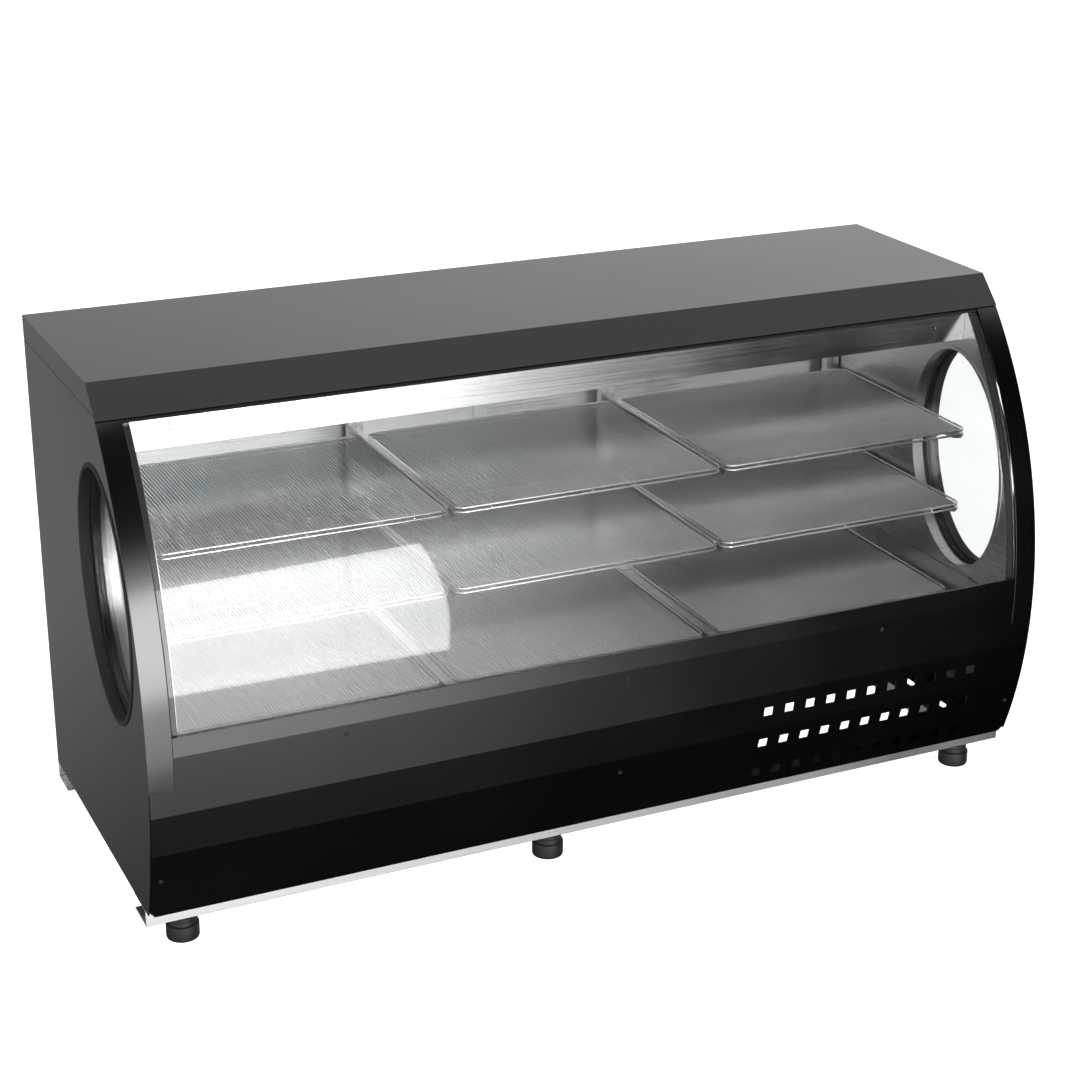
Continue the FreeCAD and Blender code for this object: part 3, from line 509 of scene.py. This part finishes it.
# the wires and the two edge rods, with the short posts between them, of one rack
def rackShells(x0, x1, y0, y1, top):
    rod, corner = rack["rod"] / 2, rack["corner"]
    level = top - rod
    lower = level - rack["drop"]
    rods = []
    for z in (level, lower):
        loop = roundedLoop(x0 + rod, x1 - rod, y0 + rod, y1 - rod, z, corner)
        rods.append(tubeShell(loop, rod, rack["rodSides"], True))
    count = int((x1 - x0 - rack["margin"]) / rack["pitch"])
    x = (x0 + x1) / 2 + (np.arange(count) - (count - 1) / 2) * rack["pitch"]
    fromEdge = np.minimum(x - x0 - rod, x1 - rod - x)      # a wire near a rounded corner stops on its arc
    missing = np.clip(corner - fromEdge, 0, corner)
    cut = corner - np.sqrt(corner ** 2 - missing ** 2)
    wires = [wireShell(x, y0 + rod + cut, y1 - rod - cut, level)]
    for share in rack["posts"]:
        px = x0 + share * (x1 - x0)
        for py in (y0 + rod, y1 - rod):
            post = [(px, py, level), (px, py, lower)]
            rods.append(tubeShell(post, rod * rack["postShare"], rack["postSides"]))
    return wires, rods


def makeRacks():
    for level in ("top", "middle"):
        for bay in ("left", "centre", "right"):
            node = f"rack_{level}_{bay}"
            low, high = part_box(node)
            wires, rods = rackShells(low.x, high.x, low.y, high.y, high.z)
            makePiece(f"wire_{node}", wires, node)
            makePiece(f"rods_{node}", rods, node, polishedRod, False)
    low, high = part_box("deck_racks")
    inner, outer = rack["bayJoint"] - rack["divider"], rack["bayJoint"] + rack["divider"]
    spans = ((low.x, -outer), (-inner, inner), (outer, high.x))
    wires, rods = [], []
    for x0, x1 in spans:
        bayWires, bayRods = rackShells(x0, x1, low.y, high.y, high.z)
        wires += bayWires
        rods += bayRods
    makePiece("wire_deck_racks", wires, "deck_racks")
    makePiece("rods_deck_racks", rods, "deck_racks", polishedRod, False)


makeRacks()
print("wire racks made")

# feet
foot = {"places": ((-0.687, -0.088, 0.687), (-0.196, 0.262)), "pad": 0.025, "padTop": 0.025, "neck": 0.0215,
        "round": 0.0016, "ribs": 3, "firstRib": 0.3, "ribStep": 0.22, "grooveHalf": 0.0012,
        "grooveFloor": 0.0005, "grooveDepth": 0.0007}


def makeFeet():
    low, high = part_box("feet")
    pad, neck, soft, padTop = foot["pad"], foot["neck"], foot["round"], foot["padTop"]
    half, floorHalf, deep = foot["grooveHalf"], foot["grooveFloor"], neck - foot["grooveDepth"]
    ribs = []
    for k in range(foot["ribs"]):       # shallow grip grooves round the neck
        z = padTop + (high.z - padTop) * (foot["firstRib"] + foot["ribStep"] * k)
        ribs += [(neck, z - half), (deep, z - floorHalf), (deep, z + floorHalf), (neck, z + half)]
    profile = [(0.010, 0.0018), (0.016, 0.0018), (0.018, 0.0), (pad - 2 * soft, 0.0),
               (pad - 0.4 * soft, 0.5 * soft), (pad, 1.6 * soft), (pad, padTop - 1.6 * soft),
               (pad - 0.4 * soft, padTop - 0.4 * soft), (pad - 1.6 * soft, padTop), (neck + 0.0006, padTop),
               (neck, padTop + 0.0008)]
    profile += ribs + [(neck, high.z - 0.001), (neck - 0.001, high.z)]
    shells = [turnedShell(profile, (x, y, 0.0)) for x in foot["places"][0] for y in foot["places"][1]]
    makePiece("rubber_feet", shells, "feet")


makeFeet()
print("feet made")

# side windows
porthole = {"middle": (-0.119, 0.529), "half": (0.1215, 0.183), "lean": math.radians(12.5), "steps": 160,
            "wall": 0.750}


# a leaning ellipse on a side wall, and the outward direction at each of its points
def portholePath(x):
    angle = np.linspace(0, 2 * np.pi, porthole["steps"], endpoint=False)
    short, tall = porthole["half"]
    local = np.stack([short * np.cos(angle), tall * np.sin(angle)], axis=1)
    outward = np.stack([np.cos(angle), np.sin(angle)], axis=1)
    sine, cosine = math.sin(porthole["lean"]), math.cos(porthole["lean"])
    turn = np.array([[cosine, -sine], [sine, cosine]])
    path, away = local @ turn, outward @ turn
    path = np.column_stack([np.full(len(path), x), path + np.array(porthole["middle"])])
    return path, np.column_stack([np.zeros(len(away)), away])


# a pressed ring with a short collar, then the two rubber lips that hold the panes. Each row is the name, the
# node, whether it replaces the node, the (growth, depth into the wall) corners and how far they are rounded
windowRings = (
    ("window_ring_", "porthole_trim_", True, ((0.0014, -0.0150), (0.0036, -0.0150), (0.0036, -0.00005),
     (0.0080, -0.00005), (0.0074, 0.0015), (0.0004, 0.0015)), 0.0005),
    ("window_seal_", "porthole_gasket_", True, ((-0.0030, -0.0172), (0.0012, -0.0160), (0.0033, -0.0160),
     (0.0033, -0.0179), (-0.0030, -0.0179)), 0.0004),
    ("window_seal_inner_", "porthole_gasket_", False, ((-0.0030, -0.0281), (0.0033, -0.0281),
     (0.0033, -0.0300), (-0.0022, -0.0300)), 0.0004))


def makePortholes():
    for side, sign in (("left", -1), ("right", 1)):
        path, outward = portholePath(porthole["wall"] * sign)
        for name, node, replace, corners, reach in windowRings:
            profile = roundedOutline(corners, reach)
            shaped = profile if sign > 0 else profile[::-1]
            shell = ringShell(shaped, path, outward, (sign, 0.0, 0.0))
            makePiece(name + side, [shell], node + side, blackRubber, replace)


makePortholes()
print("side windows made")

# panel screws
screw = {"head": 0.0036, "socket": 0.0016, "rows": ((0.328, (-0.456, 0.0, 0.456)), (0.137, (-0.733, 0.733)),
                                                     (0.159, (0.0,)))}
panel = {"radius": 0.728, "centreZ": 0.330, "folds": (0.373, 0.343, 0.252, 0.186, 0.070)}


# place and outward direction of the faceted panel at a height, between the folds above and below it
def facetAt(height):
    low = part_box("front_panel")[0]
    folds = np.array(panel["folds"])
    depth = low.y + panel["radius"] - np.sqrt(panel["radius"] ** 2 - (folds - panel["centreZ"]) ** 2)
    k = int(np.searchsorted(-folds, -height)) - 1
    along = np.array((depth[k + 1] - depth[k], folds[k + 1] - folds[k]))
    share = (height - folds[k]) / along[1]
    size = np.linalg.norm(along)
    return depth[k] + share * along[0], Vector((0.0, along[1] / size, -along[0] / size))


def makeScrews():
    shells = []
    head, socket = screw["head"], screw["socket"]
    profile = [(0.0019, -0.0033), (0.0019, -0.0010), (head, -0.0010), (head, 0.0000), (head - 0.0004, 0.0003),
               (socket + 0.0003, 0.0003), (socket, 0.0001), (socket, -0.0006)]
    for height, places in screw["rows"]:
        y, outward = facetAt(height)
        for x in places:
            shells.append(turnedShell(profile, (x, y, height), outward, 24))
    makePiece("panel_socket_screws", shells, "panel_screws", material=blackRubber)


makeScrews()
print("screws made")

# thermostat knob, its dial and the rocker marks
control = {"knob": (0.440, 0.168), "plate": 0.266, "ink": 0.00012, "radius": 0.019, "lift": 0.004,
           "flutes": 18, "fluteSteps": 12, "fluteDepth": 0.0007, "pointer": (0.0200, 0.0092),
           "pointerHalf": (0.0006, 0.0052)}
dial = {"ticks": 11, "sweep": 270.0, "tickRadii": (0.0212, 0.0238), "tickHalf": 0.0003,
        "numberRadius": 0.0272, "numberSize": 0.0052}
# places are (in front of the plate, above the knob's middle)
rocker = {"places": (("heat_switch_rocker", 0.510), ("light_switch_rocker", 0.560)),
          "bar": (0.0046, 0.0068), "barHalf": (0.0005, 0.0026), "ring": (0.0064, -0.0056),
          "ringRadii": (0.0018, 0.0024), "ringRoot": 0.0001, "ringSteps": 32, "slope": (0.0036, -0.0112)}
inkSettings = {"dark": (0.75, 0.75, 0.73), "light": (0.82, 0.82, 0.8), "roughness": 0.5,
               "pebbleScale": 900.0, "bump": 0.02}
darkInkSettings = dict(inkSettings, dark=(0.01, 0.01, 0.01), light=(0.015, 0.015, 0.015))
whiteInk = makeMoulded("white print", inkSettings)
darkInk = makeMoulded("dark print", darkInkSettings)


# a block from its centre, half sizes and three axes
def blockShell(centre, half, axes):
    signs = np.array([(x, y, z) for x in (-1, 1) for y in (-1, 1) for z in (-1, 1)], float)
    points = np.asarray(centre) + (signs * np.asarray(half)) @ np.asarray(axes, float)
    faces = [(0, 1, 3, 2), (4, 6, 7, 5), (0, 4, 5, 1), (2, 3, 7, 6), (0, 2, 6, 4), (1, 5, 7, 3)]
    return points, faces


# fluted rim: the radius falls by depth * (1 + cos(flutes * angle)) / 2 where the height is on the skirt
def makeKnob():
    x, z = control["knob"]
    y, radius = control["plate"] + control["lift"], control["radius"]
    profile = np.array([(0.004, 0.0), (radius - 0.0006, 0.0), (radius, 0.0006), (radius, 0.0115),
                        (radius - 0.0006, 0.0130), (radius - 0.0020, 0.0140), (0.006, 0.0136),
                        (0.001, 0.0136)])
    grip = np.array([0.0, 0.0, 1.0, 1.0, 0.9, 0.2, 0.0, 0.0])
    steps = control["flutes"] * control["fluteSteps"]
    turn = np.linspace(0, 2 * np.pi, steps, endpoint=False)
    ring = np.stack([np.cos(turn), np.zeros(steps), np.sin(turn)], axis=1)
    dent = control["fluteDepth"] * (1 + np.cos(control["flutes"] * turn)) / 2
    radii = profile[:, :1] - grip[:, None] * dent[None]
    points = np.array((x, y, z)) + radii[..., None] * ring[None]
    points[..., 1] += profile[:, 1][:, None]
    faces = gridQuads(len(profile), steps, False, True).tolist()
    faces += [list(range(steps)), [(len(profile) - 1) * steps + k for k in range(steps)][::-1]]
    corners = [(-0.0035, -0.016), (0.0035, -0.016), (0.0035, 0.016), (-0.0035, 0.016)]
    outline = roundedOutline(corners, 0.0028, 6)
    layers = [(1.0, 0.0130), (1.0, 0.0190), (0.93, 0.0198), (0.8, 0.0200)]
    bar = np.array([[(x + px * share, y + lift, z + pz * (1 - (1 - share) * 0.25)) for px, pz in outline]
                    for share, lift in layers])
    count = len(outline)
    barFaces = gridQuads(len(layers), count, False, True)[:, ::-1].tolist()
    barFaces += [list(range(count))[::-1], [(len(layers) - 1) * count + k for k in range(count)]]
    makePiece("fluted_knob", [(points, faces), (bar, [face[::-1] for face in barFaces])], "thermostat_knob")
    (forward, above), (wide, tall) = control["pointer"], control["pointerHalf"]
    mark = blockShell((x, y + forward, z + above), (wide, control["ink"], tall), np.eye(3))
    makePiece("knob_pointer", [mark], "thermostat_knob", whiteInk, False, False)


# ticks and plain numbers round the knob, printed on the control plate and read from behind the case
def makeDial():
    x, z = control["knob"]
    y, ink = control["plate"], control["ink"]
    near, far = dial["tickRadii"]
    shells = []
    for k in range(dial["ticks"]):
        angle = math.radians(dial["sweep"] * k / (dial["ticks"] - 1))
        outward = np.array((math.sin(angle), 0.0, math.cos(angle)))
        across = np.cross(outward, (0.0, 1.0, 0.0))
        reach = far if k % 2 == 0 else (near + far) / 2
        middle = np.array((x, y, z)) + outward * (near + reach) / 2
        half = (dial["tickHalf"], ink, (reach - near) / 2)
        shells.append(blockShell(middle, half, (across, (0.0, 1.0, 0.0), outward)))
        if k % 2 == 0:
            text = bpy.data.curves.new("dial number", "FONT")
            text.body, text.size, text.extrude = str(k // 2), dial["numberSize"], ink
            text.align_x, text.align_y = "CENTER", "CENTER"
            holder = bpy.data.objects.new("dial number", text)
            scene.collection.objects.link(holder)
            solved = holder.evaluated_get(bpy.context.evaluated_depsgraph_get())
            mesh = bpy.data.meshes.new_from_object(solved)
            flat = np.array([vertex.co for vertex in mesh.vertices])
            centre = np.array((x, y, z)) + outward * dial["numberRadius"]
            turned = flat @ np.array(((-1.0, 0.0, 0.0), (0.0, 0.0, 1.0), (0.0, 1.0, 0.0)))
            shells.append((centre + turned, [list(face.vertices) for face in mesh.polygons]))
            bpy.data.objects.remove(holder)
            bpy.data.curves.remove(text)
            bpy.data.meshes.remove(mesh)
    makePiece("dial_marks", shells, "control_plate", darkInk, False, False)


# a bar on the upper half and a ring on the lower half of each rocker
def makeRockerMarks():
    z, plate, ink = control["knob"][1], control["plate"], control["ink"]
    (barOut, barUp), (barWide, barTall) = rocker["bar"], rocker["barHalf"]
    (ringOut, ringUp), (small, large) = rocker["ring"], rocker["ringRadii"]
    slope = np.array((0.0, *rocker["slope"])) / math.hypot(*rocker["slope"])
    normal = np.cross(slope, (1.0, 0.0, 0.0))
    normal *= np.sign(normal[1])
    turn = np.linspace(0, 2 * np.pi, rocker["ringSteps"], endpoint=False)
    outward = np.cos(turn)[:, None] * np.array((1.0, 0.0, 0.0)) + np.sin(turn)[:, None] * slope
    root = -rocker["ringRoot"]
    profile = [(small, root), (large, root), (large, ink), (small, ink)]
    for node, x in rocker["places"]:
        bar = blockShell((x, plate + barOut, z + barUp), (barWide, ink, barTall), np.eye(3))
        centre = np.array((x, plate + ringOut, z + ringUp))
        ring = ringShell(profile, np.repeat(centre[None], len(turn), axis=0), outward, normal)
        makePiece("marks_" + node, [bar, ring], node, whiteInk, False, False)


makeKnob()
makeDial()
makeRockerMarks()
print("controls made")

# softened sheet metal
edgeWidths = {
    0.0012: ("hood_cap",),
    0.0008: ("base_frame", "rear_posts"),
    0.0006: ("side_shell_left", "side_shell_right", "door_frame_left", "door_frame_right", "door_header",
             "door_sill", "heat_switch_rocker", "light_switch_rocker"),
    0.0005: ("control_box",),
    0.0004: ("lamp_housing", "door_pull_left", "door_pull_right", "rear_panel_service", "rear_panel_vented",
             "control_plate", "water_drawer", "shelf_brackets", "uprights", "glass_bottom_channel",
             "ceiling_liner")}
for width, nodeNames in edgeWidths.items():
    for nodeName in nodeNames:
        softenNode(nodeName, width)
print("sheet edges softened")

# camera, floor and light
camera = {"place": (-1.4314, -3.0167, 1.7508), "yaw": 0.4397, "pitch": 0.3713, "roll": 0.0061, "lens": 74.16}


def makeCamera():
    yaw, pitch, roll = camera["yaw"], camera["pitch"], camera["roll"]
    forward = Vector((math.sin(yaw) * math.cos(pitch), math.cos(yaw) * math.cos(pitch), -math.sin(pitch)))
    level = Vector((math.cos(yaw), -math.sin(yaw), 0.0))
    up = level.cross(forward)
    right = math.cos(roll) * level + math.sin(roll) * up
    above = math.cos(roll) * up - math.sin(roll) * level
    turn = Matrix((right, above, -forward)).transposed().to_4x4()
    data = bpy.data.cameras.new("camera")
    data.lens = camera["lens"]
    data.sensor_width = 36.0
    holder = bpy.data.objects.new("camera", data)
    holder.matrix_world = Matrix.Translation(camera["place"]) @ turn
    scene.collection.objects.link(holder)
    scene.camera = holder


studio = {"floorSize": 80.0, "floorColour": (0.8, 0.8, 0.8), "cardPlace": (-0.045, -2.735, 0.66),
          "cardWidth": 1.30, "cardHeight": 1.33, "cardPower": 30.0, "cardFacing": (-0.300, 0.952, -0.061),
          "overheadPlace": (-0.6, -0.6, 3.4), "overheadFacing": (0.15, 0.15, -1.0), "overheadWidth": 3.6,
          "overheadHeight": 3.0, "overheadPower": 30.0, "seen": 1.5}


def makeFloor():
    half = studio["floorSize"] / 2
    mesh = bpy.data.meshes.new("floor")
    corners = [(-half, -half, 0), (half, -half, 0), (half, half, 0), (-half, half, 0)]
    mesh.from_pydata(corners, [], [(0, 1, 2, 3)])
    floor = bpy.data.objects.new("floor", mesh)
    scene.collection.objects.link(floor)
    material, tree, shader = newMaterial("floor")
    shader.inputs["Base Color"].default_value = (*studio["floorColour"], 1.0)
    shader.inputs["Roughness"].default_value = 0.9
    shader.inputs["Specular IOR Level"].default_value = 0.1
    white = addNode(tree, "ShaderNodeEmission", Strength=studio["seen"])
    path = addNode(tree, "ShaderNodeLightPath")
    seen = addNode(tree, "ShaderNodeMixShader")
    tree.links.new(path.outputs["Is Camera Ray"], seen.inputs[0])
    tree.links.new(shader.outputs[0], seen.inputs[1])
    tree.links.new(white.outputs[0], seen.inputs[2])
    tree.links.new(seen.outputs[0], tree.nodes["Material Output"].inputs["Surface"])
    mesh.materials.append(material)
    floor.visible_glossy = False


def makeArea(name, place, facing, width, height, power):
    data = bpy.data.lights.new(name, "AREA")
    data.shape = "RECTANGLE"
    data.size = width
    data.size_y = height
    data.energy = power
    lamp = bpy.data.objects.new(name, data)
    lamp.location = place
    lamp.rotation_euler = Vector(facing).to_track_quat("-Z", "Y").to_euler()
    lamp.visible_camera = False
    scene.collection.objects.link(lamp)
    return lamp


# brightness per direction: (height of the direction, brightness) stops for what stands in front, and fades
# (from, to, value at from, value at to) over one part of the direction
surroundings = {"heights": ((-0.8, 0.03), (-0.65, 0.2), (-0.5, 0.9), (-0.42, 3.2), (-0.2, 3.2), (0.0, 4.0),
                            (0.25, 4.0), (0.45, 0.03)),
                "frontFade": (0.29, 0.45, 1.0, 0.0), "leftFade": (-0.3, 0.0, 0.45, 1.0),
                "behind": (-0.2, 0.56, 0.3, 0.9), "below": (-0.5, -0.38, 0.3, 1.0),
                "overheadHeight": (0.4, 0.6, 0.0, 1.0), "overheadDepth": (-0.5, -0.38, 0.0, 1.0),
                "overhead": 0.72, "sides": (-0.05, 0.1, 0.0, 1.0), "peak": 4.0}


def fade(tree, source, stops):
    return remap(tree, source, stops[2], stops[3], stops[0], stops[1])


def multiply(tree, first, second):
    node = addNode(tree, "ShaderNodeMath", operation="MULTIPLY")
    tree.links.new(first, node.inputs[0])
    if isinstance(second, float):
        node.inputs[1].default_value = second
    else:
        tree.links.new(second, node.inputs[1])
    return node.outputs[0]


def mixValues(tree, factor, first, second):
    node = addNode(tree, "ShaderNodeMix", data_type="FLOAT")
    tree.links.new(factor, node.inputs[0])
    for source, socket in ((first, node.inputs[2]), (second, node.inputs[3])):
        if isinstance(source, float):
            socket.default_value = source
        else:
            tree.links.new(source, socket)
    return node.outputs[0]


# seen directly the surroundings are white; what lights and mirrors in the case is a soft gradient
def makeSurroundings():
    world = bpy.data.worlds.new("studio")
    scene.world = world
    world.use_nodes = True
    tree = world.node_tree
    background = tree.nodes["Background"]
    coords = addNode(tree, "ShaderNodeTexCoord")
    split = addNode(tree, "ShaderNodeSeparateXYZ")
    tree.links.new(coords.outputs["Generated"], split.inputs[0])
    ramp = addNode(tree, "ShaderNodeValToRGB")
    tree.links.new(remap(tree, split.outputs["Z"], 0.0, 1.0, -1.0, 1.0), ramp.inputs["Fac"])
    stops = ramp.color_ramp.elements
    stops.remove(stops[1])
    for k, (height, value) in enumerate(surroundings["heights"]):
        stop = stops[0] if k == 0 else stops.new((height + 1) / 2)
        stop.position = (height + 1) / 2
        stop.color = (*(value / surroundings["peak"],) * 3, 1.0)
    level = multiply(tree, ramp.outputs["Color"], surroundings["peak"])
    inFront = multiply(tree, level, fade(tree, split.outputs["X"], surroundings["frontFade"]))
    inFront = multiply(tree, inFront, fade(tree, split.outputs["X"], surroundings["leftFade"]))
    behind = multiply(tree, fade(tree, split.outputs["X"], surroundings["behind"]),
                      fade(tree, split.outputs["Z"], surroundings["below"]))
    around = mixValues(tree, fade(tree, split.outputs["Y"], surroundings["sides"]), inFront, behind)
    above = multiply(tree, fade(tree, split.outputs["Z"], surroundings["overheadHeight"]),
                     fade(tree, split.outputs["Y"], surroundings["overheadDepth"]))
    around = mixValues(tree, above, around, surroundings["overhead"])
    path = addNode(tree, "ShaderNodeLightPath")
    strength = mixValues(tree, path.outputs["Is Camera Ray"], around, studio["seen"])
    tree.links.new(strength, background.inputs["Strength"])
    background.inputs["Color"].default_value = (1.0, 1.0, 1.0, 1.0)


makeCamera()
makeFloor()
makeSurroundings()
makeArea("softbox card", studio["cardPlace"], studio["cardFacing"], studio["cardWidth"], studio["cardHeight"],
         studio["cardPower"])
overhead = makeArea("overhead softbox", studio["overheadPlace"], studio["overheadFacing"],
                    studio["overheadWidth"], studio["overheadHeight"], studio["overheadPower"])
overhead.visible_glossy = False
scene.view_settings.view_transform = "Standard"
print("studio made")
